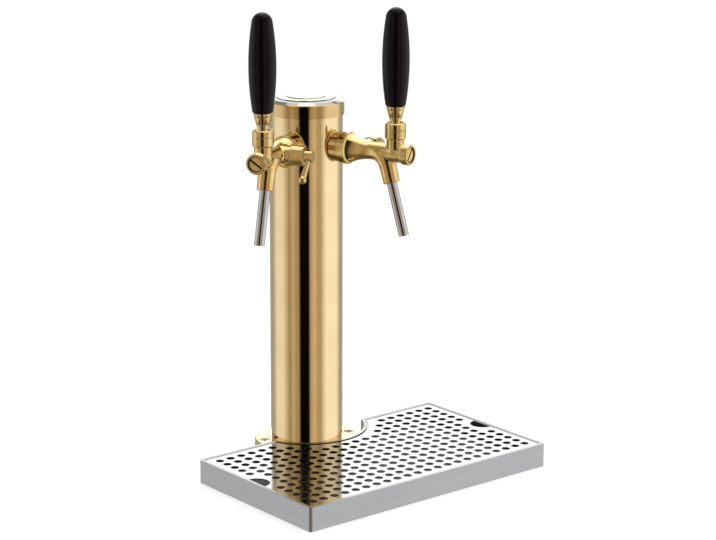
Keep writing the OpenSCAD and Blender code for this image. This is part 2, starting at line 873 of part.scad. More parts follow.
// Everything that is bored out of the tap body
module body_bores() {
    rod_x(body_tail_x - cut, barrel_x, chamber_d);
    rod_x(barrel_x - cut, plug_x, valve_d);
    rod_x(plug_x, body_end_x + cut, plug_d + 2 * slip);
    difference() {
        rod_x(circlip_x - slip, circlip_front_x + slip, ring_d);
        rod_x(circlip_x - cut, circlip_front_x + cut, body_tail_d - 2 * circlip_groove);
    }
    along_spout() {
        rod_z(0, boss_l, spout_port_d);
        rod_z(boss_l - tube_socket, boss_l + cut, tube_d + 2 * slip);
    }
    translate([lever_x, 0, 0]) {
        rod_z(well_z, bonnet_top, well_d);
        rod_z(seat_z, bonnet_top, seat_d + 2 * slip);
        post_slot();
        translate([0, 0, pivot_h]) {
            rod_y(-pivot_pin_l / 2 - swing, pivot_pin_l / 2 + swing, pivot_pin_d + 2 * slip);
            translate([-pivot_pin_d / 2 - slip, -pivot_pin_l / 2 - swing, 0])
            cube([pivot_pin_d + 2 * slip, pivot_pin_l + 2 * swing, socket_l]);
        }
    }
    translate([flow_x, 0, 0])
    rod_y(0, gland_thread_y + cut, spindle_d + 2 * swing);
}

// The slot in the barrel's upper wall that the piston's post moves along
module post_slot() {
    reach = post_travel + swing;
    width = post_d + 2 * swing;
    for (x = [-reach, reach]) {
        translate([x, 0, 0])
        rod_z(0, well_z + cut, width);
    }
    translate([-reach, -width / 2, 0])
    cube([2 * reach, width, well_z + cut]);
}

module tap_body() {
    color(brass)
    difference() {
        union() {
            turned()
            body_profile();
            lever_socket();
            spout_boss();
            translate([flow_x, 0, 0]) {
                rod_y(0, flow_boss_l, flow_boss_d);
                rod_y(0, gland_thread_y, gland_thread_d);
            }
        }
        body_bores();
    }
}

module spout_tube() {
    color(bright_steel)
    along_spout()
    difference() {
        rod_z(boss_l - tube_socket + slip, boss_l + tube_l, tube_d);
        rod_z(0, boss_l + tube_l + cut, tube_d - 2 * tube_wall);
    }
}

module front_plug(side) {
    color(brass)
    difference() {
        rod_x(plug_x + slip, plug_x + plug_t, plug_d);
        rotate([slot_turn(side), 0, 0])
        translate([plug_x + plug_t - plug_slot_depth, -plug_d, -plug_slot_w / 2])
        cube([plug_slot_depth + cut, 2 * plug_d, plug_slot_w]);
    }
}

module piston() {
    land_d = valve_d - 2 * slip;
    color(steel)
    difference() {
        union() {
            rod_x(land_x, land_x + land_l, land_d);
            rod_x(land_x, piston_front_x, waist_d);
            rod_x(piston_rear_x, piston_front_x, land_d);
            translate([lever_x, 0, 0])
            rod_z(0, post_top, post_d);
        }
        piston_groove();
        translate([lever_x, 0, 0])
        rod_z(tip_z - lever_tip_d / 2 - swing, post_top + cut, lever_tip_d + 2 * (swing - slip));
    }
}

module piston_groove() {
    groove = piston_seal_d + 2 * slip;
    difference() {
        rod_x(piston_seal_x - groove / 2, piston_seal_x + groove / 2, valve_d + cut);
        rod_x(piston_seal_x - groove, piston_seal_x + groove, valve_d - 4 * slip - 2 * piston_seal_d);
    }
}

module piston_seal() {
    color(rubber)
    turned()
    translate([valve_d / 2 - slip - piston_seal_d / 2, piston_seal_x])
    circle(d = piston_seal_d);
}

module flow_gland() {
    color(brass)
    translate([flow_x, 0, 0])
    difference() {
        rotate([-90, 0, 0])
        rotate_extrude()
        polygon([
            [0, gland_y],
            [gland_d / 2 - ring_chamfer, gland_y],
            [gland_d / 2, gland_y + ring_chamfer],
            [gland_d / 2, gland_end_y - ring_chamfer],
            [gland_d / 2 - ring_chamfer, gland_end_y],
            [0, gland_end_y],
        ]);
        rod_y(0, gland_thread_y + swing, gland_thread_d + 2 * slip);
        rod_y(oring_pocket_y - eps, oring_pocket_y + oring_pocket_l, oring_pocket_d);
        rod_y(0, gland_end_y + cut, spindle_d + 2 * slip);
    }
}

module flow_oring() {
    color(rubber)
    translate([flow_x, oring_pocket_y + oring_pocket_l / 2, 0])
    rotate([-90, 0, 0])
    rotate_extrude()
    translate([oring_mid_d / 2, 0])
    circle(d = oring_d);
}

module flow_lever() {
    color(brass)
    translate([flow_x, 0, 0]) {
        rod_y(spindle_y, hub_end_y, spindle_d);
        translate([0, 0, eccentric])
        rod_y(pin_y, spindle_y + cut, eccentric_d);
        rod_y(hub_y, hub_end_y, hub_d);
        translate([0, hub_y + hub_l / 2, 0])
        rotate([0, 180 - flow_angle, 0]) {
            cylinder(d1 = arm_root_d, d2 = arm_end_d, h = flow_arm);
            translate([0, 0, flow_arm])
            sphere(d = flow_ball_d);
        }
    }
}

module flow_cone() {
    slot_w = eccentric_d + 2 * swing;
    nose = cone_d / 2;
    color(white_plastic)
    difference() {
        union() {
            turned()
            polygon([
                [0, cone_x],
                [nose / 2, cone_x],
                [nose, cone_x + cone_l / 3],
                [nose, cone_front_x - cone_chamfer],
                [nose - cone_chamfer, cone_front_x],
                [0, cone_front_x],
            ]);
            intersection() {
                rod_x(body_tail_x + eccentric_l, cone_front_x - cone_chamfer, fin_d);
                for (turn = [45, 135]) {
                    rotate([turn, 0, 0])
                    translate([cone_x, -fin_d, -fin_t / 2])
                    cube([cone_l, 2 * fin_d, fin_t]);
                }
            }
        }
        translate([flow_x - slot_w / 2, pin_y - swing, eccentric / 2 - slot_w / 2])
        cube([slot_w, chamber_d, chamber_d]);
    }
}

module lever_seat() {
    color(white_plastic)
    translate([lever_x, 0, seat_z])
    rotate_extrude()
    difference() {
        square([seat_d / 2, seat_h]);
        square([seat_bore_d / 2, seat_h]);
        translate([0, pivot_h - seat_z])
        circle(d = lever_ball_d + 2 * swing);
    }
}

module bonnet_nut() {
    r = socket_d / 2;
    color(brass)
    translate([lever_x, 0, 0])
    difference() {
        rotate_extrude()
        polygon([
            [0, bonnet_z],
            [r, bonnet_z],
            [r, bonnet_top - bonnet_chamfer],
            [r - bonnet_chamfer, bonnet_top],
            [0, bonnet_top],
        ]);
        rod_z(bonnet_z - cut, bonnet_lip_z, bonnet_thread_d + 2 * slip);
        rod_z(bonnet_lip_z - cut, bonnet_lip_z + eps, bonnet_lip_d);
        translate([0, 0, bonnet_lip_z])
        cylinder(d1 = bonnet_lip_d, d2 = bonnet_mouth_d, h = bonnet_top - bonnet_lip_z + eps);
    }
}

module tap_lever() {
    color(steel)
    translate([lever_x, 0, 0])
    difference() {
        union() {
            translate([0, 0, tip_z])
            sphere(d = lever_tip_d);
            rod_z(tip_z, pivot_h, lever_arm_d);
            translate([0, 0, pivot_h])
            sphere(d = lever_ball_d);
            rod_z(pivot_h, ferrule_z, lever_stem_d);
            rod_z(pivot_h, grip_z + lever_thread_l, lever_thread_d);
        }
        translate([0, 0, pivot_h])
        rod_y(-lever_ball_d, lever_ball_d, pivot_pin_d);
    }
}

module lever_pin() {
    color(steel)
    translate([lever_x, 0, pivot_h])
    rod_y(-pivot_pin_l / 2, pivot_pin_l / 2, pivot_pin_d);
}

module ferrule() {
    color(brass)
    translate([lever_x, 0, 0])
    difference() {
        union() {
            translate([0, 0, ferrule_z])
            cylinder(d1 = ferrule_neck_d, d2 = ferrule_foot_d, h = ferrule_foot_z - ferrule_z);
            translate([0, 0, ferrule_foot_z])
            cylinder(d1 = ferrule_foot_d, d2 = ferrule_top_d, h = ferrule_h);
        }
        rod_z(ferrule_z - cut, grip_z + cut, lever_thread_d + 2 * slip);
    }
}

module grip() {
    grip_r = grip_d / 2;
    foot_r = grip_r - grip_bow_r + sqrt(grip_bow_r ^ 2 - grip_belly ^ 2);
    dome_z = grip_l - grip_dome_r;
    dome_turn = atan((dome_z - grip_belly) / (grip_bow_r - grip_r));
    color(black_plastic)
    translate([lever_x, 0, grip_z])
    difference() {
        rotate_extrude()
        intersection() {
            translate([grip_r - grip_bow_r, grip_belly])
            circle(r = grip_bow_r, $fn = 720);
            union() {
                translate([0, dome_z])
                circle(r = grip_dome_r);
                translate([0, grip_chamfer])
                square([grip_r, dome_z + grip_dome_r * sin(dome_turn) - grip_chamfer]);
                square([foot_r - grip_chamfer, grip_l / 2]);
            }
            square([grip_r, grip_l]);
        }
        rod_z(-cut, lever_thread_l + cut, lever_thread_d + 2 * slip);
    }
}

tower_column();
tower_cap();
base_flange();
base_sleeve();
base_gasket();
tray_pan();
tray_grid();
for (side = sides) {
    at_tap(side) wall_collar();
    at_tap(side) shank();
    at_tap(side) shank_spacer();
    at_tap(side) shank_locknut();
    at_tap(side) tail_nut();
    at_tap(side) hose_tail();
    at_tap(side) coupling_ring();
    at_tap(side) coupling_circlip();
    at_tap(side) coupling_seal();
    at_tap(side) tap_body();
    at_tap(side) spout_tube();
    at_tap(side) front_plug(side);
    at_tap(side) piston();
    at_tap(side) piston_seal();
    at_tap(side) flow_gland();
    at_tap(side) flow_oring();
    at_tap(side) flow_lever();
    at_tap(side) flow_cone();
    at_tap(side) lever_seat();
    at_tap(side) bonnet_nut();
    at_tap(side) tap_lever();
    at_tap(side) lever_pin();
    at_tap(side) ferrule();
    at_tap(side) grip();
}
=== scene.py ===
import json
import math

import bpy
import numpy as np
from mathutils import Matrix, Vector

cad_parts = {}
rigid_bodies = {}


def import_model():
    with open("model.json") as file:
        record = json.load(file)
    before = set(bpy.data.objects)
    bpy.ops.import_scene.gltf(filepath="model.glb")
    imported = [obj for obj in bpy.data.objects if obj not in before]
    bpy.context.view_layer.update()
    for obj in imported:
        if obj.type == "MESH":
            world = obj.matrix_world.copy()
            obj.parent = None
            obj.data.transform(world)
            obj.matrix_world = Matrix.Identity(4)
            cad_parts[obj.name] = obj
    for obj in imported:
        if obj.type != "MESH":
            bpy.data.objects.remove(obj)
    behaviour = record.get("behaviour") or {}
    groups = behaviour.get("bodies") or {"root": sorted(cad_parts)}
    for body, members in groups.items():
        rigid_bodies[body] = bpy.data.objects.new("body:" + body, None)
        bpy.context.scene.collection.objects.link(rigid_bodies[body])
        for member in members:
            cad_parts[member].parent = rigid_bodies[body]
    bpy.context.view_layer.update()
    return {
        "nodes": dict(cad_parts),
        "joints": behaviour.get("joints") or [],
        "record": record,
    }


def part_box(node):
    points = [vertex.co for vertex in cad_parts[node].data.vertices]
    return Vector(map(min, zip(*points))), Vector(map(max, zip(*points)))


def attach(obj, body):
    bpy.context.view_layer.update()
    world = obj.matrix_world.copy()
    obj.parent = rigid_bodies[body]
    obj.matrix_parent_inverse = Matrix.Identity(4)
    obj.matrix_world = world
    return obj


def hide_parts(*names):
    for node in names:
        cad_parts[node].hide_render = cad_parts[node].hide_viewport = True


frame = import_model()
mm = 0.001
slotOf = {part["node"]: part["material_slot"] for part in frame["record"]["subparts"]}
jointOf = {joint["name"]: joint for joint in frame["joints"]}
tapSides = ("left", "right")
print("frame loaded:", len(frame["nodes"]), "nodes")


def linearColour(hexCode):
    channels = [int(hexCode[i:i + 2], 16) / 255 for i in (1, 3, 5)]
    return [c / 12.92 if c <= 0.04045 else ((c + 0.055) / 1.055) ** 2.4 for c in channels] + [1]


# adds a node; a setting goes to the input of that name or number, or else to the node itself
def addNode(tree, kind, settings=None, links=None):
    node = tree.nodes.new(kind)
    for key, value in (settings or {}).items():
        if isinstance(key, int) or key in node.inputs:
            node.inputs[key].default_value = value
        else:
            setattr(node, key, value)
    for key, source in (links or {}).items():
        tree.links.new(source, node.inputs[key])
    return node


def newMaterial(name, shaderSettings):
    material = bpy.data.materials.new(name)
    material.use_nodes = True
    tree = material.node_tree
    tree.nodes.clear()
    shader = addNode(tree, "ShaderNodeBsdfPrincipled", shaderSettings)
    addNode(tree, "ShaderNodeOutputMaterial", links={"Surface": shader.outputs["BSDF"]})
    return material, tree, shader


# noise whose grain has the given size in millimetres along X, Y and Z
def grainNoise(tree, grainMm):
    place = addNode(tree, "ShaderNodeTexCoord")
    scaled = addNode(tree, "ShaderNodeMapping", {"Scale": [1 / (g * mm) for g in grainMm]},
                     {"Vector": place.outputs["Object"]})
    noise = addNode(tree, "ShaderNodeTexNoise", {"Scale": 1, "Detail": 3},
                    {"Vector": scaled.outputs["Vector"]})
    return noise.outputs["Fac"]


noiseSpan = (0.3, 0.7)  # most noise values lie between these


def varyColour(tree, shader, noise, darkHex, paleHex):
    ramp = addNode(tree, "ShaderNodeValToRGB", links={"Fac": noise})
    for stop, position, tone in zip(ramp.color_ramp.elements, noiseSpan, (darkHex, paleHex)):
        stop.position = position
        stop.color = linearColour(tone)
    tree.links.new(ramp.outputs["Color"], shader.inputs["Base Color"])


def varyRoughness(tree, shader, noise, low, high):
    spread = addNode(tree, "ShaderNodeMapRange", {
        "From Min": noiseSpan[0], "From Max": noiseSpan[1], "To Min": low, "To Max": high}, {"Value": noise})
    tree.links.new(spread.outputs["Result"], shader.inputs["Roughness"])


def addBump(tree, shader, noise, strength, depthMm):
    bump = addNode(tree, "ShaderNodeBump", {"Strength": strength, "Distance": depthMm * mm},
                   {"Height": noise})
    tree.links.new(bump.outputs["Normal"], shader.inputs["Normal"])


# one entry for each finish: colours, roughness from its smooth to its dull places, grain in mm
finishes = {
    # stainless tube, buffed to a mirror and gold coated: sharp warm reflections with a faint buffing haze
    "gold_steel": {
        "name": "goldCoatedSteel", "dark": "#E3C997", "pale": "#EBD3A4", "metallic": 1,
        "roughness": (0.05, 0.08), "tint": (45, 45, 45), "grain": (6, 6, 0.8), "bump": (0.05, 0.01),
    },
    # stainless cap, spun and gold coated: a deeper gold than the tube, with fine turning lines round it
    "gold_cap": {
        "name": "goldCoatedCap", "dark": "#CBAC73", "pale": "#D4B782", "metallic": 1,
        "roughness": (0.06, 0.1), "tint": (30, 30, 30), "grain": (8, 8, 0.5), "bump": (0.05, 0.01),
    },
    # cast brass, polished and gold plated: deep yellow, softer than the tube, with a faint cast ripple
    "gold_plated_brass": {
        "name": "polishedBrass", "dark": "#D0AF6A", "pale": "#E2C688", "metallic": 1,
        "roughness": (0.14, 0.21), "tint": (9, 9, 9), "grain": (1.6, 1.6, 1.6), "bump": (0.03, 0.02),
    },
    # stainless sheet with a satin brushed face: long level streaks that blur what they reflect
    "satin_steel": {
        "name": "brushedStainless", "dark": "#A3A4A3", "pale": "#ACADAC", "metallic": 1,
        "roughness": (0.28, 0.36), "tint": (60, 60, 0.9), "grain": (70, 70, 0.6), "bump": (0.04, 0.02),
    },
    # stainless sheet, bright rolled: nearly a mirror, with fine rolling lines along the plate
    "polished_steel": {
        "name": "brightStainless", "dark": "#B2B2B2", "pale": "#BDBDBD", "metallic": 1,
        "roughness": (0.07, 0.13), "tint": (80, 3, 80), "grain": (60, 0.7, 60), "bump": (0.05, 0.02),
    },
    # stainless tube, drawn and polished: a cooler, darker mirror with faint lines down its length
    "drawn_steel": {
        "name": "drawnStainless", "dark": "#B6B7B9", "pale": "#C3C4C6", "metallic": 1,
        "roughness": (0.06, 0.11), "tint": (4, 4, 60), "grain": (0.7, 0.7, 40), "bump": (0.04, 0.02),
    },
    # inside of the folded tray and the walls of the grid's holes: painted shade, near-black stainless in
    # place of the shade under the grid
    "painted_shade_steel": {
        "name": "millDullStainless", "dark": "#181818", "pale": "#222222", "metallic": 1,
        "roughness": (0.45, 0.6), "tint": (30, 30, 30), "grain": (3, 3, 3), "bump": (0.1, 0.02),
    },
    # top of the cap: painted highlight, a pale even neutral mirror in place of the gold that the light washes
    # out
    "painted_highlight_steel": {
        "name": "bareStainless", "dark": "#A09E91", "pale": "#AAA89B", "metallic": 1,
        "roughness": (0.06, 0.1), "tint": (20, 20, 20), "grain": (1.2, 1.2, 1.2), "bump": (0.03, 0.01),
    },
    # bottom of slots, holes and gaps in the brass: painted shade, dark brown metal in place of the shade in
    # these recesses
    "painted_shade_brass": {
        "name": "brownedBrass", "dark": "#1B1107", "pale": "#2A1C0C", "metallic": 0.6,
        "roughness": (0.5, 0.65), "tint": (2, 2, 2), "grain": (0.6, 0.6, 0.6), "bump": (0.1, 0.02),
    },
    # phenolic resin, moulded and tumbled: near black with a wet gloss and the slightest waviness
    "black_grip": {
        "name": "mouldedPhenolic", "dark": "#090408", "pale": "#100A0F", "metallic": 0, "specular": 0.14,
        "roughness": (0.07, 0.12), "tint": (7, 7, 14), "grain": (2.2, 2.2, 2.2), "bump": (0.05, 0.02),
    },
    # nitrile rubber, moulded: matt charcoal with a fine grain
    "black_rubber": {
        "name": "nitrileRubber", "dark": "#151515", "pale": "#232323", "metallic": 0,
        "roughness": (0.6, 0.8), "tint": (3, 3, 3), "grain": (0.5, 0.5, 0.5), "bump": (0.3, 0.05),
    },
    # acetal, turned: waxy off-white with fine tool lines
    "white_plastic": {
        "name": "turnedAcetal", "dark": "#DAD7CC", "pale": "#ECEAE2", "metallic": 0,
        "roughness": (0.35, 0.5), "tint": (5, 5, 5), "grain": (0.6, 0.6, 0.6), "bump": (0.15, 0.02),
    },
}


def makeFinish(finish):
    material, tree, shader = newMaterial(finish["name"], {
        "Metallic": finish["metallic"], "Specular IOR Level": finish.get("specular", 0.5)})
    varyColour(tree, shader, grainNoise(tree, finish["tint"]), finish["dark"], finish["pale"])
    grain = grainNoise(tree, finish["grain"])
    varyRoughness(tree, shader, grain, *finish["roughness"])
    addBump(tree, shader, grain, *finish["bump"])
    return material


materials = {slot: makeFinish(finish) for slot, finish in finishes.items()}
print("materials made:", len(materials))


creaseDegrees = 32  # edges sharper than this stay crisp


def dress(piece, slot, sharpDegrees=creaseDegrees):
    piece.data.materials.clear()
    piece.data.materials.append(materials[slot])
    piece.data.polygons.foreach_set("use_smooth", [True] * len(piece.data.polygons))
    piece.data.set_sharp_from_angle(angle=math.radians(sharpDegrees))


for nodeName, node in frame["nodes"].items():
    dress(node, slotOf[nodeName])
    if nodeName.endswith("spout_tube"):
        node.data.materials[0] = materials["drawn_steel"]
    if nodeName == "tower_cap":
        node.data.materials[0] = materials["gold_cap"]


# gives the faces whose middle passes a test a second finish: here painted shade in recesses and a painted
# highlight on the cap's top
def shadeRecess(piece, finish, isRecess):
    piece.data.materials.append(materials[finish])
    for face in piece.data.polygons:
        if isRecess(face.center, face.normal):
            face.material_index = len(piece.data.materials) - 1


# the pan's inside, in mm, painted with shade: up to the grid, and up to the rim round the cut-out
trayInside = {
    "inset": 1.08, "floor": 0.6, "cutoutRadius": 61, "cutoutReach": 4.8, "rimGap": 0.1, "gridGap": 0.05,
}
trayLow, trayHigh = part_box("tray_pan")
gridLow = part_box("tray_grid")[0]
# the cap's top with painted highlight, inside a gold rim of this many mm
capTop = {"rim": 0.8, "leastRise": 0.3}
capLow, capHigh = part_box("tower_cap")
capRadius = (capHigh.x - capLow.x) / 2


def inTray(at, facing):
    t = trayInside
    fromSides = min(at.x - trayLow.x, trayHigh.x - at.x, at.y - trayLow.y, trayHigh.y - at.y)
    fromCutout = math.hypot(at.x, at.y) - t["cutoutRadius"] * mm
    byCutout = fromCutout < t["cutoutReach"] * mm
    top = trayHigh.z - t["rimGap"] * mm if byCutout else gridLow.z - t["gridGap"] * mm
    return min(fromSides, fromCutout) > t["inset"] * mm and t["floor"] * mm < at.z < top


def inGridHole(at, facing):
    return abs(facing.z) < 0.5  # upright walls, not the plate's two faces


def onCapTop(at, facing):
    return facing.z > capTop["leastRise"] and math.hypot(at.x, at.y) < capRadius - capTop["rim"] * mm


# painted shade: the pan's inside is made near black
shadeRecess(frame["nodes"]["tray_pan"], "painted_shade_steel", inTray)
# painted shade: the upright walls of the grid's holes are made near black
shadeRecess(frame["nodes"]["tray_grid"], "painted_shade_steel", inGridHole)
# painted highlight: the cap's top is made pale neutral steel
shadeRecess(frame["nodes"]["tower_cap"], "painted_highlight_steel", onCapTop)
print("nodes dressed")

# a tap's own frame: X out of the column, Y on the flow lever's side, Z up, origin on the column's axis
tapFrames = {}
for side in tapSides:
    outward = Vector(jointOf[side + "_valve_slide"]["axis"])
    across = Vector(jointOf[side + "_handle_pull"]["axis"])
    tapFrames[side] = Matrix((outward, across, Vector((0, 0, 1)))).transposed().to_4x4()
    tapFrames[side].translation = (0, 0, jointOf[side + "_flow_turn"]["pos_m"][2])

# the tap body in mm: sizes taken over from the part's source, cast blends between its limbs, mesh settings
tapBody = {
    "tailStart": 50.5, "bodyStart": 55.7, "barrelStart": 79.9, "bodyEnd": 125.9,
    "tailRadius": 9.6, "flareRadius": 14.8, "barrelRadius": 9.0, "rimRadius": 10.5, "rimLength": 7.5,
    "edge": 0.7, "overlap": 1, "openEnd": 200,
    "clipStart": 51.25, "clipEnd": 52.55, "clipGroove": 8.7, "clipReach": 30,
    "spoutPlace": 95.1, "spoutLean": 15.5, "bossLength": 31.8, "bossRoot": 9.4, "bossMouth": 8.4,
    "tubeSocket": (15, 5.45),
    "leverPlace": 107.4, "neckRadius": 8.5, "socketRadius": 10.75, "socketStart": 14.8, "socketEnd": 24.4,
    "threadRadius": 9.0, "threadEnd": 26.9, "threadShade": 0.15,
    "flowPlace": 67.9, "flowBoss": (9.0, 14.3), "flowThread": (8.4, 20.0), "spindleBore": 3.3,
    "chamber": 6.5, "valve": 5.0, "port": 3.1, "plug": (8.05, 120.1),
    "well": (5.3, 6.68), "seat": (19.6, 7.55), "slot": (3.38, 3.3), "pivot": (24.6, 1.65, 8.7),
    "bossBlend": (7.0, 1.2, 9.0), "neckBlend": 1.4, "flowBlend": 2.0,
    "step": 0.5, "margin": 1.6, "lowest": -33.2, "sharpDegrees": 40,
}


def smoothUnion(a, b, blend):
    mixed = np.clip(0.5 + 0.5 * (b - a) / blend, 0, 1)
    return b + (a - b) * mixed - blend * mixed * (1 - mixed)


# signed distance to a round rod, from how far a point is from its axis and how far along it
def rodDistance(away, along, start, end, radius):
    return np.maximum(away - radius, np.maximum(start - along, along - end))


def tapBodyDistance(x, y, z):
    b = tapBody
    away = np.hypot(y, z)
    rise = b["flareRadius"] - b["barrelRadius"]
    flareLength = b["barrelStart"] - b["bodyStart"]
    flareArc = (flareLength ** 2 + rise ** 2) / (2 * rise)
    back = np.clip(b["barrelStart"] - x, 0, flareLength)
    rimStart = b["bodyEnd"] - b["rimLength"]
    rim = np.clip(x - rimStart + b["rimRadius"] - b["barrelRadius"], 0, b["rimRadius"] - b["barrelRadius"])
    edge = np.clip(x - b["bodyEnd"] + b["edge"], 0, b["edge"])
    outline = b["barrelRadius"] + flareArc - np.sqrt(flareArc ** 2 - back ** 2) + rim - edge
    limbs = rodDistance(away, x, b["bodyStart"], b["bodyEnd"], outline)
    # the spout's boss leans forward and narrows towards its mouth
    lean = math.radians(b["spoutLean"])
    down = (x - b["spoutPlace"]) * math.sin(lean) - z * math.cos(lean)
    forward = (x - b["spoutPlace"]) * math.cos(lean) + z * math.sin(lean)
    fromSpout = np.hypot(forward, y)
    share = np.clip(down / b["bossLength"], 0, 1)
    mouthEdge = np.clip(down - b["bossLength"] + b["edge"], 0, b["edge"])
    bossRadius = b["bossRoot"] + (b["bossMouth"] - b["bossRoot"]) * share - mouthEdge
    rearBlend, frontBlend, blendReach = b["bossBlend"]
    bossBlend = frontBlend + (rearBlend - frontBlend) * np.clip(0.5 - forward / blendReach, 0, 1)
    limbs = smoothUnion(limbs, rodDistance(fromSpout, down, 0, b["bossLength"], bossRadius), bossBlend)
    # the lever's socket stands on a neck and swells into a bowl
    fromLever = np.hypot(x - b["leverPlace"], y)
    swell = b["socketRadius"] - b["neckRadius"]
    bowl = np.clip(z - b["socketStart"], 0, swell)
    socketOutline = b["neckRadius"] + np.sqrt(np.maximum(swell ** 2 - (swell - bowl) ** 2, 0))
    socketOutline = np.where(z > b["socketStart"], socketOutline, b["neckRadius"])
    limbs = smoothUnion(limbs, rodDistance(fromLever, z, 0, b["socketEnd"], socketOutline), b["neckBlend"])
    fromSpindle = np.hypot(x - b["flowPlace"], z)
    flowBoss = rodDistance(fromSpindle, y, 0, b["flowBoss"][1], b["flowBoss"][0])
    limbs = smoothUnion(limbs, flowBoss, b["flowBlend"])
    # tail, threads and everything that is bored out
    tail = rodDistance(away, x, b["tailStart"], b["bodyStart"] + b["overlap"], b["tailRadius"])
    solid = np.minimum(limbs, tail)
    solid = np.minimum(solid, rodDistance(fromLever, z, 0, b["threadEnd"], b["threadRadius"]))
    solid = np.minimum(solid, rodDistance(fromSpindle, y, 0, b["flowThread"][1], b["flowThread"][0]))
    clipBand = rodDistance(away, x, b["clipStart"], b["clipEnd"], b["clipReach"])
    openEnd = b["openEnd"]
    slotWidth = np.maximum(np.abs(x - b["leverPlace"]) - b["slot"][0], 0)
    pivotHeight, pivotRadius, pivotReach = b["pivot"]
    pivotSlot = np.maximum(np.abs(x - b["leverPlace"]), np.maximum(pivotHeight - z, 0)) - pivotRadius
    bores = [
        rodDistance(away, x, 0, b["barrelStart"], b["chamber"]),
        rodDistance(away, x, b["barrelStart"] - b["overlap"], b["plug"][1], b["valve"]),
        rodDistance(away, x, b["plug"][1], openEnd, b["plug"][0]),
        rodDistance(fromSpout, down, 0, openEnd, b["port"]),
        rodDistance(fromSpout, down, b["bossLength"] - b["tubeSocket"][0], openEnd, b["tubeSocket"][1]),
        rodDistance(fromLever, z, b["well"][0], openEnd, b["well"][1]),
        rodDistance(fromLever, z, b["seat"][0], openEnd, b["seat"][1]),
        rodDistance(np.hypot(slotWidth, y), z, 0, openEnd, b["slot"][1]),
        np.maximum(pivotSlot, np.abs(y) - pivotReach),
        rodDistance(fromSpindle, y, 0, openEnd, b["spindleBore"]),
        np.maximum(clipBand, b["clipGroove"] - away),
    ]
    for bore in bores:
        solid = np.maximum(solid, -bore)
    return solid


# how the points of a level surface settle: steps, probe as a share of the grid, and the flattest slope
settling = {"steps": 4, "probe": 1 / 20, "leastSlope": 0.25}


# a closed mesh on the zero level of a distance: one point in each crossed cell, one face on each crossed edge
def levelSurface(distance, low, high, step):
    axes = [np.arange(low[i], high[i] + step, step) for i in range(3)]
    field = distance(*np.meshgrid(*axes, indexing="ij"))
    inside = field < 0
    cells = [n - 1 for n in field.shape]
    total = np.zeros(cells + [3])
    count = np.zeros(cells)
    corners = [(i, j, k) for i in (0, 1) for j in (0, 1) for k in (0, 1)]

    def take(grid, c):
        return grid[c[0]:c[0] + cells[0], c[1]:c[1] + cells[1], c[2]:c[2] + cells[2]]

    for a in corners:
        for axis in range(3):
            if a[axis]:
                continue
            b = tuple(v + (i == axis) for i, v in enumerate(a))
            crossed = take(inside, a) != take(inside, b)
            fa, fb = take(field, a), take(field, b)
            t = np.where(crossed, fa / np.where(crossed, fa - fb, 1), 0)
            for i in range(3):
                total[..., i] += np.where(crossed, a[i] + (t if i == axis else 0), 0)
            count += crossed
    used = count > 0
    index = np.full(cells, -1)
    index[used] = np.arange(used.sum())
    points = np.argwhere(used) + total[used] / count[used][:, None]
    points = np.array(low) + points * step
    faces = []
    for axis in range(3):
        u, v = (axis + 1) % 3, (axis + 2) % 3
        start = np.moveaxis(inside, axis, 0)
        change = np.moveaxis(start[:-1].astype(int) - start[1:].astype(int), 0, axis)
        spot = np.argwhere(change != 0)
        spot = spot[(spot[:, u] > 0) & (spot[:, v] > 0) & (spot[:, u] < cells[u]) & (spot[:, v] < cells[v])]
        turn = change[tuple(spot.T)] > 0
        ring = []
        for du, dv in ((1, 1), (0, 1), (0, 0), (1, 0)):
            cell = spot.copy()
            cell[:, u] -= du
            cell[:, v] -= dv
            ring.append(index[tuple(cell.T)])
        quads = np.stack(ring, 1)
        quads[~turn] = quads[~turn][:, ::-1]
        faces.append(quads)
    # a few steps along the slope bring each point onto the level
    probe = step * settling["probe"]
    for _ in range(settling["steps"]):
        value = distance(*points.T)
        slope = np.stack([(distance(*(points + d).T) - distance(*(points - d).T)) / (2 * probe)
                          for d in np.eye(3) * probe], 1)
        size = np.maximum((slope ** 2).sum(1), settling["leastSlope"])
        points = points - np.clip(value / size, -step / 2, step / 2)[:, None] * slope
    return points, np.concatenate(faces)


def newPiece(name, points, faces, slot, body, sharpDegrees=creaseDegrees):
    mesh = bpy.data.meshes.new(name)
    mesh.from_pydata([tuple(p) for p in points], [], [tuple(int(i) for i in f) for f in faces])
    mesh.validate()
    mesh.update()
    piece = bpy.data.objects.new(name, mesh)
    bpy.context.scene.collection.objects.link(piece)
    dress(piece, slot, sharpDegrees)
    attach(piece, body)
    return piece


margin = tapBody["margin"]
bodyLow = (tapBody["tailStart"] - margin, -tapBody["flareRadius"] - margin, tapBody["lowest"])
bodyHigh = (tapBody["bodyEnd"] + margin, tapBody["flowThread"][1] + margin, tapBody["threadEnd"] + margin)
threadStart = (tapBody["socketEnd"] - tapBody["threadShade"]) * mm
bodyPoints, bodyFaces = levelSurface(tapBodyDistance, bodyLow, bodyHigh, tapBody["step"])
for side in tapSides:
    placed = [tapFrames[side] @ Vector(p * mm) for p in bodyPoints]
    castBody = newPiece(side + "_cast_body", placed, bodyFaces, "gold_plated_brass", "tower",
                        tapBody["sharpDegrees"])
    tapHeight = tapFrames[side].translation.z
    # painted shade on the thread and the socket's top face, in the gap under the bonnet nut
    shadeRecess(castBody, "painted_shade_brass", lambda at, facing: at.z - tapHeight > threadStart)
    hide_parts(side + "_tap_body")
print("tap bodies blended:", len(bodyFaces), "faces each")

# ferrule between lever and grip, turned with fine grooves above its neck
ferruleTurning = {
    "neckRadius": 4.13, "footRadius": 6.1, "footRise": 4.9, "bore": 3.05, "sectors": 96,
    "grooves": (0.16, 0.74, 0.86), "grooveDepth": 0.28, "grooveWidth": 0.7, "topEdge": (0.3, 0.5),
}


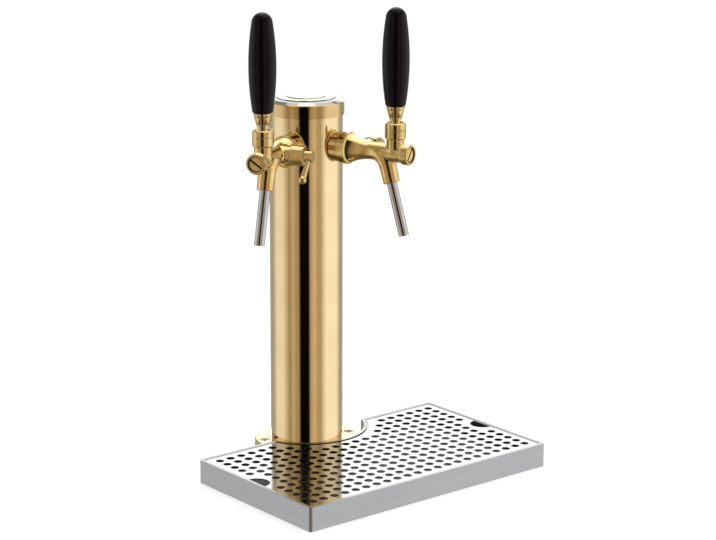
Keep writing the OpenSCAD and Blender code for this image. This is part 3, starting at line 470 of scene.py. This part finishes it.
def turnedSolid(profile, sectors):
    angles = [2 * math.pi * i / sectors for i in range(sectors)]
    points = [(r * math.cos(a), r * math.sin(a), z) for r, z in profile for a in angles]
    rows = len(profile)
    faces = []
    for row in range(rows):
        upper = (row + 1) % rows
        for i in range(sectors):
            j = (i + 1) % sectors
            faces.append((row * sectors + i, row * sectors + j, upper * sectors + j, upper * sectors + i))
    return points, faces


for side in tapSides:
    f = ferruleTurning
    low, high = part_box(side + "_ferrule")
    centre = (low + high) / 2
    height = (high.z - low.z) / mm
    topRadius = (high.x - low.x) / 2 / mm
    taper = (topRadius - f["footRadius"]) / (height - f["footRise"])
    edgeLine = [(f["neckRadius"], 0), (f["footRadius"], f["footRise"])]
    for place in f["grooves"]:
        z = place * (height - f["footRise"])
        for dz, depth in ((-f["grooveWidth"] / 2, 0), (0, f["grooveDepth"]), (f["grooveWidth"] / 2, 0)):
            edgeLine.append((f["footRadius"] + taper * (z + dz) - depth, f["footRise"] + z + dz))
    outer, inner = f["topEdge"]
    edgeLine += [(topRadius - outer, height - outer), (topRadius - inner, height)]
    edgeLine += [(f["bore"], height), (f["bore"], 0)]
    points, faces = turnedSolid(edgeLine, f["sectors"])
    placed = [Vector((centre.x, centre.y, low.z)) + Vector(p) * mm for p in points]
    turnedFerrule = newPiece(side + "_turned_ferrule", placed, faces, "gold_plated_brass", side + "_handle")
    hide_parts(side + "_ferrule")
print("ferrules turned")

# socket-head screws that hold the base flange to the counter, sunk in its seats
counterScrew = {
    "headRadius": 4.25, "headHeight": 4.6, "edge": 0.5, "socketFlats": 4.0, "socketDepth": 2.4, "sectors": 48,
    "flangeTop": 12.5, "seatDepth": 5.0,
}


# the head from its foot over its edge and down into the hexagon, which has as many points as the head
def screwHead():
    s = counterScrew
    count = s["sectors"]
    angles = [2 * math.pi * k / count for k in range(count)]
    facets = [(a + math.pi / 6) % (math.pi / 3) - math.pi / 6 for a in angles]
    hexagon = [s["socketFlats"] / 2 / math.cos(f) for f in facets]
    rings = [
        ([s["headRadius"]] * count, 0),
        ([s["headRadius"]] * count, s["headHeight"] - s["edge"]),
        ([s["headRadius"] - s["edge"]] * count, s["headHeight"]),
        (hexagon, s["headHeight"]),
        (hexagon, s["headHeight"] - s["socketDepth"]),
    ]
    points = [(r * math.cos(a), r * math.sin(a), z) for radii, z in rings for r, a in zip(radii, angles)]
    faces = []
    for row in range(len(rings) - 1):
        low, high = row * count, (row + 1) * count
        for k in range(count):
            j = (k + 1) % count
            faces.append((low + k, low + j, high + j, high + k))
    faces.append(tuple(range(count))[::-1])
    faces.append(tuple(range((len(rings) - 1) * count, len(rings) * count)))
    return points, faces


boltMount = next(m for m in frame["record"]["mounts"] if m["name"] == "counter_bolts")
boltCount = boltMount["dims"]["count"]
boltCircle = boltMount["dims"]["pcd_mm"] / 2
towerAxis = sum((Vector(jointOf[side + "_valve_slide"]["axis"]) for side in tapSides), Vector())
towerTurn = math.atan2(towerAxis.y, towerAxis.x) + math.pi / 2
seatHeight = counterScrew["flangeTop"] - counterScrew["seatDepth"]
points, faces = screwHead()
for i in range(boltCount):
    angle = towerTurn + i * 2 * math.pi / boltCount
    spot = Vector((boltCircle * math.cos(angle), boltCircle * math.sin(angle), seatHeight)) * mm
    seat = Matrix.Translation(spot) @ Matrix.Scale(mm, 4) @ Matrix.Rotation(angle, 4, "Z")
    placed = [seat @ Vector(p) for p in points]
    newPiece(f"counter_screw_{i + 1}", placed, faces, "satin_steel", "tower")
print("counter screws set")

# recesses of each tap, painted with shade, and a black ring in place of the shade round its plug, in mm in
# the tap's own frame
plugSlot = {"radius": 7.7, "start": 121, "end": 124.3}
spannerHole = {"inner": 13.7, "outer": 16.3, "start": 48, "end": 53.5}
plugShadeRing = {"radius": 7.45, "section": 0.5, "place": 124.8, "facets": 12, "sectors": 64}


def inPlugSlot(spot):
    return math.hypot(spot.y, spot.z) < plugSlot["radius"] and plugSlot["start"] < spot.x < plugSlot["end"]


def inSpannerHole(spot):
    h = spannerHole
    return h["inner"] < math.hypot(spot.y, spot.z) < h["outer"] and h["start"] < spot.x < h["end"]


# painted shade: a thin black ring in front of the plug stands in for the shade in the recess round it
shadeRingAngles = [2 * math.pi * k / plugShadeRing["facets"] for k in range(plugShadeRing["facets"])]
shadeRingProfile = [(plugShadeRing["radius"] + plugShadeRing["section"] * math.cos(a), plugShadeRing["section"] * math.sin(a))
            for a in shadeRingAngles]
points, faces = turnedSolid(shadeRingProfile, plugShadeRing["sectors"])
for side in tapSides:
    toTap = tapFrames[side].inverted()
    # painted shade in the plug's slot and in the coupling ring's spanner holes
    shadeRecess(frame["nodes"][side + "_front_plug"], "painted_shade_brass",
                lambda at, facing: inPlugSlot(toTap @ at / mm))
    shadeRecess(frame["nodes"][side + "_coupling_ring"], "painted_shade_brass",
                lambda at, facing: inSpannerHole(toTap @ at / mm))
    placed = [tapFrames[side] @ (Vector((plugShadeRing["place"] + z, y, -x)) * mm) for x, y, z in points]
    newPiece(side + "_plug_seal", placed, faces, "black_rubber", "tower")
print("recesses shaded")

# small edge radii that catch the light, in mm
edgeRadii = {
    "tray_pan": 0.8, "tower_cap": 0.2, "wall_collar": 0.4, "shank": 0.2, "coupling_ring": 0.25,
    "bonnet_nut": 0.22, "flow_gland": 0.3, "flow_lever": 0.5, "front_plug": 0.25, "spout_tube": 0.15,
}
for nodeName, node in frame["nodes"].items():
    plainName = nodeName.removeprefix("left_").removeprefix("right_")
    if plainName in edgeRadii:
        bevel = node.modifiers.new("edgeRadius", "BEVEL")
        bevel.width = edgeRadii[plainName] * mm
        bevel.segments = 2
        bevel.limit_method = "ANGLE"
        bevel.angle_limit = math.radians(creaseDegrees)
        bevel.harden_normals = True
print("edges rounded")

# camera fitted to the photograph: angles in degrees, distance and aim in metres, lens and sensor in mm
cameraSpec = {
    "azimuth": -39.32, "elevation": 14.05, "roll": 0.18, "distance": 2.29055,
    "aim": (0.04183, -0.03426, 0.19469), "lens": 110, "sensor": 36,
}
azimuth, elevation, roll = (math.radians(cameraSpec[k]) for k in ("azimuth", "elevation", "roll"))
tilt = Matrix.Rotation(math.pi / 2 - elevation, 4, "X")
facing = Matrix.Rotation(azimuth, 4, "Z") @ tilt @ Matrix.Rotation(roll, 4, "Z")
eye = Vector(cameraSpec["aim"]) + facing.to_3x3() @ Vector((0, 0, cameraSpec["distance"]))
camera = bpy.data.objects.new("camera", bpy.data.cameras.new("camera"))
camera.data.lens = cameraSpec["lens"]
camera.data.sensor_width = cameraSpec["sensor"]
camera.matrix_world = Matrix.Translation(eye) @ facing
bpy.context.scene.collection.objects.link(camera)
bpy.context.scene.camera = camera
print("camera placed")

# soft boxes fade out towards their sides, so each is a stack of panels that reach from one bearing to another
# bearings in degrees from the camera's side, distance, lift and height in metres, face as a brightness
softBoxes = {
    "leftBox": {
        "spans": ((-125, -57), (-118, -63), (-112, -69), (-107, -75)),
        "distance": 1.7, "lift": 0.15, "height": 2.8, "face": 0.14,
    },
    "rightBox": {
        "spans": ((49, 129), (54, 123), (59, 117), (65, 112)),
        "distance": 1.7, "lift": 0.15, "height": 2.8, "face": 0.18,
    },
    "topBox": {"spans": ((84.44, 215.56),), "distance": 0.5, "lift": 2.1, "height": 2.2, "face": 1.0},
}
# what the boxes share: colour, metres between the panels of a stack, and the place that they face
boxSpec = {"colour": (1, 1.01, 1.12), "panelGap": 0.02, "aim": (0, -0.06, 0.22)}
towardCamera = math.atan2(-math.cos(azimuth), math.sin(azimuth))
for name, box in softBoxes.items():
    for i, (start, end) in enumerate(box["spans"]):
        distance = box["distance"] + i * boxSpec["panelGap"]
        lamp = bpy.data.lights.new(name, "AREA")
        lamp.shape = "RECTANGLE"
        lamp.size = 2 * distance * math.tan(math.radians(end - start) / 2)
        lamp.size_y = box["height"]
        lamp.color = boxSpec["colour"]
        lamp.energy = box["face"] * math.pi * lamp.size * lamp.size_y
        bearing = towardCamera + math.radians((start + end) / 2)
        panel = bpy.data.objects.new(name, lamp)
        panel.location = (distance * math.cos(bearing), distance * math.sin(bearing), box["lift"])
        panel.rotation_euler = (panel.location - Vector(boxSpec["aim"])).to_track_quat("Z", "Y").to_euler()
        panel.visible_camera = False
        bpy.context.scene.collection.objects.link(panel)

# studio walls: the tone of each bearing in reflections, warm flats beside a dark curtain round the camera
wallTones = [
    (-180, "#B6B6B4"), (-122, "#B4B4B2"), (-100, "#B4B4B2"), (-66, "#B2A792"), (-52, "#AFA38E"),
    (-44, "#CEBFA7"), (-38, "#CEBFA7"), (-31, "#B5A892"), (-24, "#B5A892"), (-17, "#0A0606"),
    (9, "#0A0606"), (14, "#BCAD96"), (24, "#E0CEB2"), (29, "#E4D2B5"), (36, "#C6B79E"),
    (46, "#C2B39B"), (60, "#BCBAB4"), (110, "#B6B6B4"), (180, "#B6B6B4"),
]
# the back wall, which level faces mirror: bearings and heights over which it fades in
backWall = {"edge": (150, 158), "horizon": (-0.14, 0.2), "brightness": 1.9}
# steeply down, reflections darken as over a table: full effect at the first slope, none from the second on
darkTable = {"slope": (-0.85, -0.5), "brightness": 0.4}
softFill = 0.45  # the light from all round on matt surfaces
white = (1, 1, 1, 1)
world = bpy.data.worlds.new("studio")
world.use_nodes = True
bpy.context.scene.world = world
tree = world.node_tree
tree.nodes.clear()
ray = addNode(tree, "ShaderNodeTexCoord")
turned = addNode(tree, "ShaderNodeMapping", {"Rotation": (0, 0, -towardCamera)},
                 {"Vector": ray.outputs["Generated"]})
parts = addNode(tree, "ShaderNodeSeparateXYZ", links={"Vector": turned.outputs["Vector"]})
around = addNode(tree, "ShaderNodeMath", {"operation": "ARCTAN2"},
                 {0: parts.outputs["Y"], 1: parts.outputs["X"]})
share = addNode(tree, "ShaderNodeMapRange", {"From Min": -math.pi, "From Max": math.pi},
                {"Value": around.outputs["Value"]})
walls = addNode(tree, "ShaderNodeValToRGB", links={"Fac": share.outputs["Result"]})
stops = walls.color_ramp.elements
stops.remove(stops[1])
for i, (bearing, tone) in enumerate(wallTones):
    position = bearing / 360 + 0.5
    stop = stops[0] if i == 0 else stops.new(position)
    stop.position = position
    stop.color = linearColour(tone)
turnedAway = addNode(tree, "ShaderNodeMath", {"operation": "ABSOLUTE"}, {0: around.outputs["Value"]})
edgeStart, edgeEnd = (math.radians(e) for e in backWall["edge"])
behind = addNode(tree, "ShaderNodeMapRange", {"From Min": edgeStart, "From Max": edgeEnd},
                 {"Value": turnedAway.outputs["Value"]})
above = addNode(tree, "ShaderNodeMapRange", {
    "From Min": backWall["horizon"][0], "From Max": backWall["horizon"][1]}, {"Value": parts.outputs["Z"]})
backShare = addNode(tree, "ShaderNodeMath", {"operation": "MULTIPLY"},
                    {0: behind.outputs["Result"], 1: above.outputs["Result"]})
below = addNode(tree, "ShaderNodeMapRange", {
    "From Min": darkTable["slope"][0], "From Max": darkTable["slope"][1], "To Min": darkTable["brightness"]},
    {"Value": parts.outputs["Z"]})
sideWalls = addNode(tree, "ShaderNodeBackground", links={
    "Color": walls.outputs["Color"], "Strength": below.outputs["Result"]})
rearWall = addNode(tree, "ShaderNodeBackground", {"Color": white, "Strength": backWall["brightness"]})
studio = addNode(tree, "ShaderNodeMixShader", links={
    0: backShare.outputs["Value"], 1: sideWalls.outputs["Background"], 2: rearWall.outputs["Background"]})
# metal mirrors the studio, matt surfaces get the fill, and the camera sees white
fill = addNode(tree, "ShaderNodeBackground", {"Color": white, "Strength": softFill})
backdrop = addNode(tree, "ShaderNodeBackground", {"Color": white, "Strength": 1})
path = addNode(tree, "ShaderNodeLightPath")
shiny = addNode(tree, "ShaderNodeMath", {"operation": "MAXIMUM"},
                {0: path.outputs["Is Glossy Ray"], 1: path.outputs["Is Transmission Ray"]})
lit = addNode(tree, "ShaderNodeMixShader", links={
    0: shiny.outputs["Value"], 1: fill.outputs["Background"], 2: studio.outputs["Shader"]})
seen = addNode(tree, "ShaderNodeMixShader", links={
    0: path.outputs["Is Camera Ray"], 1: lit.outputs["Shader"], 2: backdrop.outputs["Background"]})
addNode(tree, "ShaderNodeOutputWorld", links={"Surface": seen.outputs["Shader"]})
print("studio lit")

# pale seamless paper: matt white that stays white up to the soft contact shadow
floorSpec = {
    "size": 3.4, "drop": 0.2, "dark": "#F4F4F2", "pale": "#FAFAF8", "grain": (25, 25, 25), "glow": 0.5,
}
paper, tree, shader = newMaterial("seamlessPaper", {
    "Roughness": 0.9, "Specular IOR Level": 0.1,
    "Emission Color": white, "Emission Strength": floorSpec["glow"]})
varyColour(tree, shader, grainNoise(tree, floorSpec["grain"]), floorSpec["dark"], floorSpec["pale"])
bpy.ops.mesh.primitive_plane_add(size=floorSpec["size"], location=(0, 0, -floorSpec["drop"] * mm))
floor = bpy.context.object
floor.name = "paper_floor"
floor.data.materials.append(paper)
floor.visible_shadow = False
# only these show in reflections: the taps would draw long streaks on the column,
# and with the floor the metal wouldn't show the studio walls down to its foot
mirroredPieces = ("tower_column", "tower_cap", "base_flange", "wall_collar", "coupling_ring", "shank", "plug",
                  "plug_seal", "circlip")
for piece in bpy.context.scene.objects:
    if piece.type == "MESH" and not piece.name.endswith(mirroredPieces):
        piece.visible_glossy = False
bpy.context.scene.view_settings.view_transform = "Standard"

print("scene ready")
